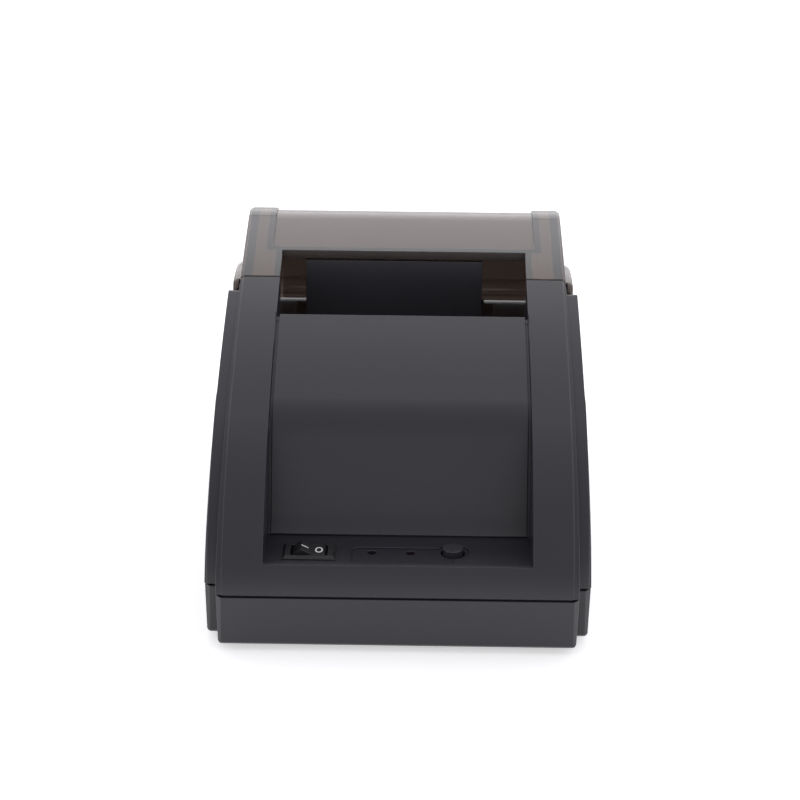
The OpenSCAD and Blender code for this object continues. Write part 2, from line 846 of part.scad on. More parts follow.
module mech_frame() color([0.62, 0.63, 0.65]) shifted() difference() {
    union() {
        both() translate([frame_x[0], 0, 0]) across() linear_extrude(frame_x[1] - frame_x[0]) frame_side();
        block(-frame_x[0], frame_x[0], frame_y[0] + sheet_t, frame_y[0] + 2 * sheet_t, frame_z[0], brace_top);
        for (y = [[frame_y[0], frame_y[0] + 8], [frame_y[1] - 5, frame_y[1]]])
            block(-frame_x[0], frame_x[0], y[0], y[1], frame_z[0], frame_z[0] + sheet_t);
        pair(frame_posts, frame_z[0]) cylinder(r = tab_r, h = sheet_t);
        pair(frame_posts, frame_z[0]) translate([-tab_l, -tab_r, 0]) cube([tab_l, 2 * tab_r, sheet_t]);
    }
    pair(frame_posts, frame_z[0] - past) cylinder(r = screw_r + hole_gap, h = sheet_t + 2 * past);
    rod(roller_at, bush_r, -frame_x[1] - past, frame_x[1] + past);
    rod(pivot_at, pin_r, -frame_x[1] - past, frame_x[1] + past);
    rod(lever_at, pin_r + fit, -frame_x[1] - past, frame_x[1] + past);
    rod(idler_at, pin_r, -frame_x[1] - past, 0);
    rod(motor_at, boss_r, -frame_x[1] - past, 0);
}

// One side plate, with the post that carries the tear bar behind the roller.
module frame_side() {
    post = [roller_at[0] + 4, roller_at[0] + 8];
    polygon([[frame_y[0], frame_z[0]], [frame_y[1], frame_z[0]], [frame_y[1], 30], [post[1], 41],
        [post[1], frame_z[1]], [post[0], frame_z[1]], [post[0] - 1, frame_top],
        [frame_y[0] + sheet_t, frame_top], [frame_y[0], frame_top - 2.5]]);
}

module platen_core() color([0.75, 0.75, 0.77]) shifted() {
    rod(roller_at, shaft_r, slow_x[0] - over, frame_x[1] + past);
    rod(roller_at, roller_r - rubber_t, -roller_l, roller_l);
}

module platen_rubber() color([0.08, 0.08, 0.09]) shifted() difference() {
    rod(roller_at, roller_r, -roller_l, roller_l);
    rod(roller_at, roller_r - rubber_t, -roller_l - past, roller_l + past);
}

module platen_bushes() color([0.85, 0.84, 0.78]) shifted() both() difference() {
    union() {
        rod(roller_at, bush_r, frame_x[0], frame_x[1]);
        rod(roller_at, bush_rim_r, frame_x[0] - bush_rim_t, frame_x[0]);
    }
    rod(roller_at, shaft_r + fit, frame_x[0] - past, frame_x[1] + past);
}

function inv(a) = tan(a) * 180 / PI - a;
function gear_r(z) = z * gear_m / 2;
function tip_r(z) = gear_r(z) + 0.8 * gear_m;
function root_r(z) = gear_r(z) - gear_m;
function base_r(z) = gear_r(z) * cos(press);
function polar(r, a) = r * [cos(a), sin(a)];

// Half the angle that a tooth of an involute gear fills at a radius.
function half_tooth(z, r) =
    90 / z - slack / gear_r(z) * 45 / PI + inv(press) - inv(acos(min(1, base_r(z) / r)));

// The radii at which a flank is drawn, from the root to the tip.
function radii(z) = let(lo = max(root_r(z), base_r(z)))
    concat([root_r(z) - 0.001], [for (i = [0 : 4]) lo + (tip_r(z) - lo) * i / 4]);

module gear(p, z, phase, x0, x1, bore) {
    rs = radii(z);
    n = len(rs) - 1;
    translate([x0, 0, 0]) across() linear_extrude(x1 - x0) translate(p) difference() {
        polygon([for (k = [0 : z - 1]) for (j = [0 : 2 * n + 1])
            let(r = rs[j <= n ? j : 2 * n + 1 - j], h = half_tooth(z, max(r, base_r(z))))
            polar(r, phase + 360 * k / z + (j <= n ? -h : h))]);
        circle(bore);
    }
}

module platen_gear() color([0.88, 0.87, 0.82]) shifted()
    gear(roller_at, roller_teeth, idler_turn, slow_x[0], slow_x[1], shaft_r);

module idler_gear() color([0.88, 0.87, 0.82]) shifted() {
    gear(idler_at, idler_small, idler_turn + 180 + 180 / idler_small, slow_x[0], fast_x[0], pin_r + fit);
    gear(idler_at, idler_large, motor_turn, fast_x[0], fast_x[1], pin_r + fit);
}

module idler_axle() color([0.75, 0.75, 0.77]) shifted() {
    head = slow_x[0] - 0.4;
    rod(idler_at, pin_r, head - axle_head_t, -frame_x[0]);
    rod(idler_at, axle_head_r, head - axle_head_t, head);
}

module motor_body() color([0.55, 0.56, 0.58]) shifted() difference() {
    union() {
        rod(motor_at, motor_r, past - frame_x[0], motor_end);
        translate([-frame_x[0], 0, 0]) across() linear_extrude(motor_flange) {
            translate(motor_at) circle(motor_r);
            for (s = [-1, 1]) translate(motor_at + s * [0, motor_r + 0.6]) circle(motor_lug_r);
        }
        rod(motor_at, boss_r, -frame_x[1], -frame_x[0]);
    }
    rod(motor_at, rotor_r + fit, -frame_x[1] - past, rotor_end + 2);
}

module motor_pinion() color([0.78, 0.66, 0.36]) shifted() {
    rod(motor_at, rotor_r, fast_x[0] - past, rotor_end);
    gear(motor_at, pinion_teeth, motor_turn + 180 + 180 / pinion_teeth, fast_x[0], fast_x[1], rotor_r / 2);
}

// The ceramic strip, the raised line that prints and the joint of the flexible cable.
module thermal_head() color([0.82, 0.80, 0.72]) shifted() {
    block(-head_half, head_half, head_y - ceramic_t - glaze_t, head_y - glaze_t, 26, 44);
    block(past - head_half, head_half - past, head_y - glaze_t, head_y,
        roller_at[1] - glaze_half, roller_at[1] + glaze_half);
    block(-flex_half - 2, flex_half + 2, head_y - glaze_t, head_y + 0.3, 27, 31);
}

module head_heat_sink() color([0.66, 0.67, 0.69]) shifted() difference() {
    rear = head_y - ceramic_t - glaze_t;
    union() {
        block(-head_half, head_half, sink_y, rear, sink_z[0], sink_z[1]);
        both() {
            block(lug_x[0], lug_x[1], sink_y, rear, pivot_at[1], sink_z[0] + past);
            rod(pivot_at, pivot_lug, lug_x[0], lug_x[1]);
        }
        block(-hook_half, hook_half, hook_y, sink_y + past, sink_z[1] - hook_t, sink_z[1]);
        block(-hook_half, hook_half, hook_y, hook_y + hook_t, hook_low, sink_z[1]);
    }
    rod(pivot_at, pin_r + fit, -head_half, head_half);
}

module head_pivot_shaft() color([0.75, 0.75, 0.77]) shifted() rod(pivot_at, pin_r, -frame_x[1], frame_x[1]);

// Each leaf bows out from the frame to the back of the heat sink and lies flat on both.
module head_springs() color([0.7, 0.71, 0.73]) shifted() {
    seat = frame_y[0] + 2 * sheet_t;
    bow = (sink_y - seat - spring_t - 2 * spring_gap) / 2 / (1 - cos(90 - spring_lean));
    leaf = [[seat + spring_gap, 22], [90, 90, 4], [90, spring_lean, bow],
        [spring_lean, 90, bow], [90, 90, 3]];
    both() for (x = spring_x) sheet(leaf, 0, spring_t, x, x + spring_w);
}

module head_release_lever() color([0.20, 0.42, 0.33]) shifted() {
    rod(lever_at, pin_r, -frame_x[1] - 0.8, frame_x[1] + lever_t);
    both() rod(lever_at - [0, cam_e], cam_r, cam_x[0], cam_x[1]);
    translate([frame_x[1] + past, 0, 0]) across() linear_extrude(lever_t) translate(lever_at) {
        circle(lever_w);
        rotate(lever_rest) translate([0, -lever_w / 2]) square([lever_l, lever_w]);
        rotate(lever_rest) translate([lever_l, 0]) circle(lever_tip_r);
    }
}

// The saw edge has one tooth per pitch, twenty to each side of the middle.
module tear_bar() color([0.72, 0.73, 0.75]) shifted() {
    low = frame_z[1] + 1.3;
    translate([0, tear_y, 0]) rotate([90, 0, 0]) linear_extrude(tear_t) polygon(concat(
        [[-frame_x[0], tear_low], [frame_x[0], tear_low], [frame_x[0], low]],
        [for (i = [tear_teeth - 1 : -1 : 0]) for (k = [0.5, 0])
            [(i - tear_teeth / 2 + k) * tear_pitch, low + (k > 0 ? tear_deep : 0)]]));
}

module paper_guide() color([0.17, 0.17, 0.19]) shifted() sheet(guide, 0, guide_t, -frame_x[0], frame_x[0]);

module paper_sensor() color([0.1, 0.1, 0.11]) shifted() {
    place = at(guide, 2) + guide_t * below(guide_down);
    translate([sensor_x, 0, 0]) across() linear_extrude(sensor_w) translate(place) rotate(guide_down)
        translate([sensor_in, -sensor_t]) square([sensor_l, sensor_t]);
}

module main_board() color([0.10, 0.30, 0.18]) difference() {
    block(-board_w / 2, board_w / 2, board_y[0], board_y[1], board_z, board_top);
    pair(board_posts, board_z - past) cylinder(r = screw_r + hole_gap, h = board_t + 2 * past);
    pair(pillars, board_z - past) cylinder(r = pillar_r + pillar_room, h = board_t + 2 * past);
}

// Two chips, three capacitors, the four plugs of the leads and a row of small parts.
module board_parts() color([0.12, 0.12, 0.13]) {
    block(-8, 8, 150, 166, board_top, board_top + 1.6);
    block(26, 38, 148, 160, board_top, board_top + 1.4);
    for (p = [[9 - board_w / 2, 158], [21 - board_w / 2, 160], [-24, 170]])
        translate([p[0], p[1], board_top]) cylinder(r = 4, h = 9);
    plug(mech_x - flex_half - 2, mech_x + flex_half + 2);
    plug(mech_x + motor_lead[0] - 1, mech_x + motor_lead[1] + 1);
    plug(panel_lead[0] - 1, panel_lead[1] + 1);
    plug(rocker_at[0] - 4.5, rocker_at[0] + 3.8);
    for (i = [0 : 5]) block(18 + 3 * i, 20 + 3 * i, 168, 169.2, board_top, board_top + 0.6);
}

module plug(x0, x1) {
    block(x0, x1, board_y[0] + over, board_y[0] + plug_l, board_top, board_top + plug_h);
}

module socket_shell(s) {
    block(s[0] - s[1] / 2, s[0] + s[1] / 2, socket_y[0], socket_y[1], board_top, board_top + s[2]);
}

module power_jack() color([0.07, 0.07, 0.08]) {
    s = sockets[0];
    mid = board_top + s[2] / 2;
    bottom = socket_y[1] - jack_deep;
    difference() {
        socket_shell(s);
        translate([s[0], bottom, mid]) rotate([-90, 0, 0]) cylinder(r = jack_r, h = 2 * jack_deep);
    }
    translate([s[0], bottom - over, mid]) rotate([-90, 0, 0]) cylinder(r = jack_pin_r, h = jack_deep - over);
}

module usb_socket() color([0.72, 0.73, 0.75]) {
    s = sockets[1];
    difference() {
        socket_shell(s);
        block(s[0] - 4.2, s[0] + 4.2, socket_y[1] - jack_deep, far, board_top + 1.6, board_top + 9.3);
    }
    block(s[0] - 2.8, s[0] + 2.8, socket_y[1] - jack_deep - over, socket_y[1] - past,
        board_top + 3.8, board_top + 6.9);
}

module drawer_socket() color([0.07, 0.07, 0.08]) {
    s = sockets[2];
    difference() {
        socket_shell(s);
        block(s[0] - 4.9, s[0] + 4.9, socket_y[1] - 11, far, board_top + 3.4, board_top + 9.8);
        block(s[0] - 2, s[0] + 2, socket_y[1] - 11, far, board_top + 1.2, board_top + 4);
    }
}

module panel_board() color([0.10, 0.30, 0.18]) difference() {
    block(-18, 29.5, 9.5, 27.5, panel_board_z - board_t, panel_board_z);
    for (p = panel_posts) translate([p[0], p[1], panel_board_z - 2 * board_t - past])
        cylinder(r = small_screw_r + hole_gap, h = 3 * board_t + 2 * past);
}

module lamp(p) {
    translate([p[0], p[1], panel_board_z]) {
        cylinder(r = lamp_foot_r, h = 1);
        cylinder(r = lamp_d / 2 - lamp_gap, h = floor_z - pocket_d - lamp_deep - panel_board_z);
    }
}

module power_led() color([0.2, 0.75, 0.35]) lamp(lamps[0]);

module status_led() color([0.85, 0.25, 0.15]) lamp(lamps[1]);

module tact_switch() color([0.1, 0.1, 0.11]) under_button(0) difference() {
    translate([-tact_w / 2, -tact_w / 2, 0]) cube([tact_w, tact_w, tact_h]);
    translate([0, 0, tact_rise - button_travel - 0.4]) cylinder(r = plunger_r + 0.35, h = tact_h);
}

module tact_plunger() color([0.75, 0.74, 0.7])
    under_button(tact_rise) cylinder(r = plunger_r, h = tact_top - tact_rise);

module feed_button() color([0.15, 0.15, 0.17]) {
    under_button(tact_top) cylinder(r = button_r, h = button_top - panel_board_z - tact_top);
    under_button(floor_under - panel_board_z - 1.4) cylinder(r = button_r + button_flange, h = 1);
}

// A height above the small board, in line with the feed button.
module under_button(z) { translate([button_at[0], button_at[1], panel_board_z + z]) children(); }

// The raised frame round the rocker, with a bevel along its four outer edges.
module bezel() translate([0, 0, floor_z]) intersection() {
    rotate([90, 0, 0]) linear_extrude(bezel_y, center = true) bevelled(bezel_w / 2);
    rotate([90, 0, 90]) linear_extrude(bezel_w, center = true) bevelled(bezel_y / 2);
}

module bevelled(w) {
    lip = bezel_h - bezel_edge;
    polygon([[-w, 0], [w, 0], [w, lip], [w - bezel_edge, bezel_h], [bezel_edge - w, bezel_h], [-w, lip]]);
}

module rocker_housing() color([0.09, 0.09, 0.10]) translate([rocker_at[0], rocker_y, 0]) difference() {
    w = housing_w / 2;
    room = rocker_deep + 2 * step;
    union() {
        bezel();
        block(-w, w, -housing_y / 2, housing_y / 2, housing_z, floor_z);
    }
    block(housing_t - w, w - housing_t, -room / 2, room / 2, housing_z + past, floor_z);
    block(-well_w / 2, well_w / 2, -room / 2, room / 2, 0, bezel_z + past);
    translate([0, 0, rocker_at[1]]) rotate([90, 0, 0])
        cylinder(r = trunnion_r + fit, h = housing_y + 2 * past, center = true);
}

// Two flat faces meet over the pivot, and a round keel swings in the housing.
module rocker() color([0.07, 0.07, 0.08])
    translate([rocker_at[0], rocker_y, rocker_at[1]]) rotate([90, rocker_tilt, 0]) {
        r = rocker_r;
        v = vertex_h + r * tan(rocker_tilt);
        linear_extrude(rocker_deep, center = true) intersection() {
            circle(r);
            polygon([[-r, v], [-r, -keel[0]], [-keel[0], -keel[1]], [keel[0], -keel[1]],
                [r, -keel[0]], [r, v], [0, vertex_h]]);
        }
        cylinder(r = trunnion_r, h = housing_y - 0.8, center = true);
    }

module rocker_terminals() color([0.78, 0.66, 0.36])
    for (x = wire_x) translate([rocker_at[0] + x, rocker_y, terminal_z])
        translate([-0.4, -2.4, 0]) cube([0.8, 4.8, housing_z - terminal_z]);

// A lead drops from (y, z), bends back in an arc and runs to its plug on the main board.
function lead(y, z, bend) = [[y, z], [-90, -90, z - wire_z - bend], [-90, 0, bend],
    [0, 0, board_y[0] + over - y - bend]];

module head_flex() color([0.62, 0.42, 0.16]) shifted()
    sheet(lead(head_y + 0.1, 27, 4), 0, 0.25, -flex_half, flex_half);

module motor_cable() color([0.35, 0.36, 0.38]) shifted()
    sheet(lead(motor_at[0] + 0.4, motor_at[1] - motor_r, 4), 0, ribbon_t, motor_lead[0], motor_lead[1]);

module panel_cable() color([0.35, 0.36, 0.38])
    sheet(lead(26, panel_board_z - board_t, 4), 0, ribbon_t, panel_lead[0], panel_lead[1]);

module switch_wires() color([0.5, 0.12, 0.1]) for (x = wire_x) {
    mid = rocker_at[0] + x;
    sheet(lead(rocker_y - wire_r, terminal_z, wire_bend), -2 * wire_r, 0, mid - wire_r, mid + wire_r);
}

module rubber_feet() color([0.08, 0.08, 0.09])
    pair(feet, -base_h - foot_h) cylinder(r = foot_r, h = foot_h + foot_seat);

// A screw with its shank up and a crossed slot in its head.
module screw(long, head_r, r = screw_r) {
    cylinder(r = r, h = long);
    difference() {
        translate([0, 0, -head_h]) cylinder(r = head_r, h = head_h);
        for (a = [0, 90]) rotate(a)
            block(-slot_l * head_r, slot_l * head_r, -slot_half, slot_half, -far, slot_up);
    }
}

module case_screws() color([0.55, 0.56, 0.58])
    pair(pillars, head_up - base_h) screw(base_h - head_up + case_screw, 2.9);

module mech_screws() color([0.55, 0.56, 0.58]) shifted()
    pair(frame_posts, frame_z[0] + sheet_t) mirror([0, 0, 1]) screw(frame_screw, 2.8);

module board_screws() color([0.55, 0.56, 0.58])
    pair(board_posts, board_top) mirror([0, 0, 1]) screw(board_t + board_screw, 2.8);

module panel_board_screws() color([0.55, 0.56, 0.58])
    for (p = panel_posts) translate([p[0], p[1], panel_board_z - board_t])
        screw(board_t + panel_screw, 2, small_screw_r);

translate([0, -case_d / 2, foot_h + base_h]) {
    bottom_case();
    top_case();
    paper_cover();
    paper_well();
    mech_frame();
    platen_core();
    platen_rubber();
    platen_bushes();
    platen_gear();
    idler_gear();
    idler_axle();
    motor_body();
    motor_pinion();
    thermal_head();
    head_heat_sink();
    head_pivot_shaft();
    head_springs();
    head_release_lever();
    tear_bar();
    paper_guide();
    paper_sensor();
    main_board();
    board_parts();
    power_jack();
    usb_socket();
    drawer_socket();
    panel_board();
    power_led();
    status_led();
    tact_switch();
    tact_plunger();
    feed_button();
    rocker_housing();
    rocker();
    rocker_terminals();
    head_flex();
    motor_cable();
    panel_cable();
    switch_wires();
    rubber_feet();
    case_screws();
    mech_screws();
    board_screws();
    panel_board_screws();
}
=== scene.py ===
# %% [markdown]
# # Dressing a receipt printer
#
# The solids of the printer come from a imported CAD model. This lesson gives them the look of the
# real thing: soft moulded edges, textured plastic, a smoked cover, and studio light.
# Everything is in metres. X runs to the right, Y to the rear, and Z up from the table.

# %% Load the printer
import json
import math

import bmesh
import bpy
from mathutils import Matrix, Vector

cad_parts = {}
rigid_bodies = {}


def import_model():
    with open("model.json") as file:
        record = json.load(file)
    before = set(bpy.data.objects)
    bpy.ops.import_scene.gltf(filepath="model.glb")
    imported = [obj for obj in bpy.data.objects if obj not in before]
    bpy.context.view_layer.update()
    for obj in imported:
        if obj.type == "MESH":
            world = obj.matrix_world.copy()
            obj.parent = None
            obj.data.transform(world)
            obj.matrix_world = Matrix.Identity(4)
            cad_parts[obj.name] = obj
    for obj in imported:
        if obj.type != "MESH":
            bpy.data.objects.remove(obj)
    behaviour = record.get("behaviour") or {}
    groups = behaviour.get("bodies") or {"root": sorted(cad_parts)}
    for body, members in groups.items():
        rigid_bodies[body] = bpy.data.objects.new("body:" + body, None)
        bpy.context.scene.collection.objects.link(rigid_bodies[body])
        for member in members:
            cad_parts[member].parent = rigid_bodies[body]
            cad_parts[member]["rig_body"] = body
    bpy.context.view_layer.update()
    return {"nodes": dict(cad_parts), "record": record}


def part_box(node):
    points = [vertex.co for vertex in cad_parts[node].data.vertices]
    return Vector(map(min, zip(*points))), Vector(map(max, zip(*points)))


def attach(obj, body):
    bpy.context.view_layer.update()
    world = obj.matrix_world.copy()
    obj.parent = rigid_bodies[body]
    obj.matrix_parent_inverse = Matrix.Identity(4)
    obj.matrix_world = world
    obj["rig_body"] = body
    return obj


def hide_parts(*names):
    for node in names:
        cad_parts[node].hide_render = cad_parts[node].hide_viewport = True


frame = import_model()
nodes = frame["nodes"]
mm = 0.001

# %% [markdown]
# A colour picked from a picture is written as a hex value in sRGB. Blender's shaders work in
# linear light, so one small function turns one into the other.

# %% Colours
def linear(text, alpha=1.0):
    channels = [int(text[i:i + 2], 16) / 255 for i in (1, 3, 5)]
    return tuple(c / 12.92 if c <= 0.04045 else ((c + 0.055) / 1.055) ** 2.4 for c in channels) + (alpha,)


print("mid grey #808080 is", round(linear("#808080")[0], 3), "in linear light")

# %% [markdown]
# Shader trees and geometry trees are built from the same three things: a node, its settings and
# its links. One helper adds a node, sets what it is given, and links the sockets that are passed.

# %% A helper for nodes
def add(tree, kind, inputs=None, **settings):
    node = tree.nodes.new(kind)
    for name, value in settings.items():
        setattr(node, name, value)
    for name, value in (inputs or {}).items():
        if isinstance(value, bpy.types.NodeSocket):
            tree.links.new(value, node.inputs[name])
        else:
            node.inputs[name].default_value = value
    return node


def new_material(name):
    material = bpy.data.materials.new(name)
    material.use_nodes = True
    tree = material.node_tree
    tree.nodes.clear()
    surface = add(tree, "ShaderNodeBsdfPrincipled")
    output = add(tree, "ShaderNodeOutputMaterial")
    tree.links.new(surface.outputs["BSDF"], output.inputs["Surface"])
    place = add(tree, "ShaderNodeTexCoord").outputs["Object"]
    return material, tree, surface, place


# %% [markdown]
# Most of the printer is moulded plastic. A mould is spark-eroded to give a fine grain, about
# half a millimetre from one crest to the next, which breaks up reflections and hides scratches. The grain
# is a noise that drives both the bump and, faintly, the roughness. A second, much larger noise
# moves the colour by a few percent, as handling and flow marks do.

# %% Moulded plastic
flow_mm = 33.3


def moulded_plastic(name, colour, roughness, grain_mm=0.55, depth_mm=0.03, uneven=0.06):
    material, tree, surface, place = new_material(name)
    grain = add(tree, "ShaderNodeTexNoise", {"Vector": place, "Scale": 1000 / grain_mm, "Detail": 2.0})
    flow = add(tree, "ShaderNodeTexNoise", {"Vector": place, "Scale": 1000 / flow_mm, "Detail": 3.0})
    tone = add(tree, "ShaderNodeMapRange", {"Value": flow.outputs["Fac"], "From Min": 0.3, "From Max": 0.7,
                                            "To Min": 1 - uneven, "To Max": 1 + uneven})
    tinted = add(tree, "ShaderNodeVectorMath", {0: linear(colour)[:3], "Scale": tone.outputs["Result"]},
                 operation="SCALE")
    tree.links.new(tinted.outputs["Vector"], surface.inputs["Base Color"])
    shine = add(tree, "ShaderNodeMapRange", {"Value": grain.outputs["Fac"], "From Min": 0.3, "From Max": 0.7,
                                             "To Min": roughness - 0.05, "To Max": roughness + 0.05})
    tree.links.new(shine.outputs["Result"], surface.inputs["Roughness"])
    bump = add(tree, "ShaderNodeBump",
               {"Height": grain.outputs["Fac"], "Distance": depth_mm * mm, "Strength": 0.6})
    tree.links.new(bump.outputs["Normal"], surface.inputs["Normal"])
    surface.inputs["IOR"].default_value = 1.54
    return material


# The case is satin with a grain that can just be seen. The inner plastic is plain and shinier.
case_plastic = moulded_plastic("grained dark ABS", "#222128", 0.37)
inner_plastic = moulded_plastic("plain dark ABS", "#2f2e33", 0.36, grain_mm=0.8, depth_mm=0.004)
# The switch, the sockets and the parts on the boards are a deeper black, with a slight sheen.
black_plastic = moulded_plastic("black polyamide", "#1d1d1f", 0.38, grain_mm=0.5, depth_mm=0.005)
# Gears and bushes are milky and even, and the release lever is a clear signal green. The feet
# and the roller are dull.
white_nylon = moulded_plastic("natural nylon", "#e3e0d4", 0.42, grain_mm=0.6, depth_mm=0.004, uneven=0.02)
green_plastic = moulded_plastic("green acetal", "#2f6f56", 0.35, grain_mm=0.6, depth_mm=0.004)
rubber = moulded_plastic("black rubber", "#1b1b1c", 0.7, grain_mm=0.4, depth_mm=0.02, uneven=0.1)
print("plastics ready")

# %% [markdown]
# The cover is smoked polycarbonate: clear plastic with a brown-grey dye. Light that goes in comes
# out weaker, and the satin surface spreads both the reflection and what is seen through it. Where
# an upright wall stands under the top skin, more plastic lies in the way, and the cover looks darker.
# That darker look is painted shade: a mask built from the place on the cover, in millimetres, paints
# grey bands on the top faces there. Faces that look into the paper bay get less light than a
# renderer finds there, so painted shade gives them a deeper, darker tint.

# %% Smoked plastic
haze_mm = 16.67


def between(tree, value, low_mm, high_mm):
    middle, half = (low_mm + high_mm) / 2 * mm, (high_mm - low_mm) / 2 * mm
    return add(tree, "ShaderNodeMath", {0: value, 1: middle, 2: half}, operation="COMPARE").outputs[0]


def both_of(tree, first, second):
    return add(tree, "ShaderNodeMath", {0: first, 1: second}, operation="MINIMUM").outputs[0]


def any_of(tree, *masks):
    found = masks[0]
    for mask in masks[1:]:
        found = add(tree, "ShaderNodeMath", {0: found, 1: mask}, operation="MAXIMUM").outputs[0]
    return found


def smoked_plastic():
    material, tree, surface, place = new_material("smoked polycarbonate")
    haze = add(tree, "ShaderNodeTexNoise", {"Vector": place, "Scale": 1000 / haze_mm, "Detail": 2.0})
    shine = add(tree, "ShaderNodeMapRange", {"Value": haze.outputs["Fac"], "To Min": 0.18, "To Max": 0.26})
    tree.links.new(shine.outputs["Result"], surface.inputs["Roughness"])
    spot = add(tree, "ShaderNodeSeparateXYZ", {0: place})
    side = add(tree, "ShaderNodeMath", {0: spot.outputs["X"]}, operation="ABSOLUTE").outputs[0]
    rear = spot.outputs["Y"]
    # Painted shade: the top faces over the upright walls beneath get a darker grey colour, in bands.
    wall_shade_bands = any_of(tree,
                   between(tree, side, 57.0, 60.2),
                   both_of(tree, between(tree, side, 46.4, 48.8), between(tree, rear, 0, 36)),
                   both_of(tree, between(tree, side, 50.4, 52.8), between(tree, rear, 34, 95)),
                   both_of(tree, between(tree, side, -1, 52.8), between(tree, rear, 34, 36.4)))
    faces = add(tree, "ShaderNodeSeparateXYZ", {0: add(tree, "ShaderNodeTexCoord").outputs["Normal"]})
    top = add(tree, "ShaderNodeMath", {0: faces.outputs["Z"], 1: 0.5}, operation="GREATER_THAN").outputs[0]
    colour = add(tree, "ShaderNodeMix",
                 {0: both_of(tree, wall_shade_bands, top), 6: linear("#6c5b52"), 7: linear("#3c3e42")}, data_type="RGBA")
    # Painted shade: faces that look into the paper bay get a darker brown, for the light they lack.
    front = add(tree, "ShaderNodeMath", {0: faces.outputs["Y"], 1: -0.3}, operation="LESS_THAN").outputs[0]
    bay_shade = both_of(tree, front, both_of(tree, between(tree, side, -1, 50), between(tree, rear, 33, 96)))
    colour = add(tree, "ShaderNodeMix", {0: bay_shade, 6: colour.outputs[2], 7: linear("#423731")},
                 data_type="RGBA")
    tree.links.new(colour.outputs[2], surface.inputs["Base Color"])
    surface.inputs["Transmission Weight"].default_value = 0.55
    surface.inputs["IOR"].default_value = 1.58
    return material


smoked = smoked_plastic()

# %% [markdown]
# Metals keep the default index and take their look from colour, roughness and the marks of how
# they were made: rolled sheet has long faint lines, turned shafts have fine rings.

# %% Metals and the rest
def rolled_metal(name, colour, roughness, stretch=(1, 1, 30), line_mm=0.6):
    material, tree, surface, place = new_material(name)
    lay = add(tree, "ShaderNodeMapping", {"Vector": place, "Scale": [s * 1000 / line_mm / 30 for s in stretch]})
    lines = add(tree, "ShaderNodeTexNoise",
                {"Vector": lay.outputs["Vector"], "Scale": 1.0, "Detail": 3.0})
    shine = add(tree, "ShaderNodeMapRange",
                {"Value": lines.outputs["Fac"], "To Min": roughness - 0.1, "To Max": roughness + 0.12})
    tree.links.new(shine.outputs["Result"], surface.inputs["Roughness"])
    bump = add(tree, "ShaderNodeBump",
               {"Height": lines.outputs["Fac"], "Distance": 0.005 * mm, "Strength": 0.4})
    tree.links.new(bump.outputs["Normal"], surface.inputs["Normal"])
    surface.inputs["Base Color"].default_value = linear(colour)
    surface.inputs["Metallic"].default_value = 1.0
    return material


# Sheet is the dullest of the metals. The ground shafts are the brightest, and brass is warm.
plated_sheet = rolled_metal("zinc plated sheet", "#b9bbbd", 0.36)
ground_steel = rolled_metal("ground steel", "#c4c5c7", 0.25, stretch=(30, 1, 1))
extruded_aluminium = rolled_metal("extruded aluminium", "#c8c9cc", 0.32, stretch=(1, 30, 30))
turned_brass = rolled_metal("turned brass", "#c9a24e", 0.3, stretch=(30, 1, 1))
plated_screw = rolled_metal("zinc plated screw", "#a7a9ac", 0.38)
# The print head is cream and glassy, the boards are green under lacquer, and the film is amber
# and glossy. Ribbon and insulation are soft and matt, and the lamps have clear bright heads.
ceramic = moulded_plastic("glazed alumina", "#d8d2bd", 0.18, grain_mm=1.5, depth_mm=0.002, uneven=0.03)
laminate = moulded_plastic("green laminate", "#1b5a38", 0.3, grain_mm=0.5, depth_mm=0.004)
amber_film = moulded_plastic("polyimide film", "#9c5e1c", 0.22, grain_mm=2.0, depth_mm=0.002)
grey_ribbon = moulded_plastic("grey ribbon cable", "#77787c", 0.45)
red_insulation = moulded_plastic("red insulation", "#a1221c", 0.4)
green_lens = moulded_plastic("green lamp lens", "#2f7d4a", 0.2, grain_mm=2.0, depth_mm=0.001)
red_lens = moulded_plastic("red lamp lens", "#8c2a22", 0.2, grain_mm=2.0, depth_mm=0.001)

finish = {
    "case_plastic": case_plastic, "inner_plastic": inner_plastic, "smoked_plastic": smoked,
    "black_plastic": black_plastic, "rubber": rubber, "white_nylon": white_nylon, "green_plastic": green_plastic,
    "sheet_steel": plated_sheet, "steel": ground_steel, "aluminium": extruded_aluminium, "brass": turned_brass,
    "ceramic": ceramic, "board": laminate, "screw_steel": plated_screw, "flex": amber_film, "cable": grey_ribbon,
    "wire": red_insulation, "green_lens": green_lens, "red_lens": red_lens,
}
for part in frame["record"]["subparts"]:
    solid = nodes[part["node"]]
    solid.data.materials.clear()
    solid.data.materials.append(finish[part["material_slot"]])
print("every solid has its finish")

# %% [markdown]
# The CAD mouldings have knife-sharp edges. Real ones have a small radius, which catches the light
# as a thin bright line. A copy of each moulding gets it from a bevel on every outer edge. A bevel
# also spoils the smooth shading of the curved faces beside it. The cure is to give each corner of
# a face the mean normal of the old faces that meet there at a low angle. Only the corners that no
# old face reaches keep the normal of their own point.

# %% Corner normals for a bevelled moulding
crease = math.radians(30)


def corner_normals(mesh, strips):
    for face in mesh.faces:
        for loop in face.loops:
            old = [near.normal for near in loop.vert.link_faces
                   if near not in strips and near.normal.dot(face.normal) > math.cos(crease)]
            distinct = {normal.to_tuple(3): normal for normal in old}.values()
            yield sum(distinct, Vector()).normalized() if distinct else loop.vert.normal.copy()


# %% Mouldings with soft edges
def bevelled(name, radius, weld):
    mesh = bmesh.new()
    mesh.from_mesh(nodes[name].data)
    bmesh.ops.remove_doubles(mesh, verts=mesh.verts, dist=weld)
    bmesh.ops.dissolve_limit(mesh, angle_limit=math.radians(0.3), verts=mesh.verts, edges=mesh.edges)
    outer = [edge for edge in mesh.edges if edge.is_convex and edge.calc_face_angle(0) > crease]
    made = bmesh.ops.bevel(mesh, geom=outer, offset=radius, offset_type="OFFSET", segments=2, profile=0.5,
                           affect="EDGES", clamp_overlap=False, miter_outer="ARC")
    mesh.normal_update()
    return mesh, set(made["faces"]), len(outer)


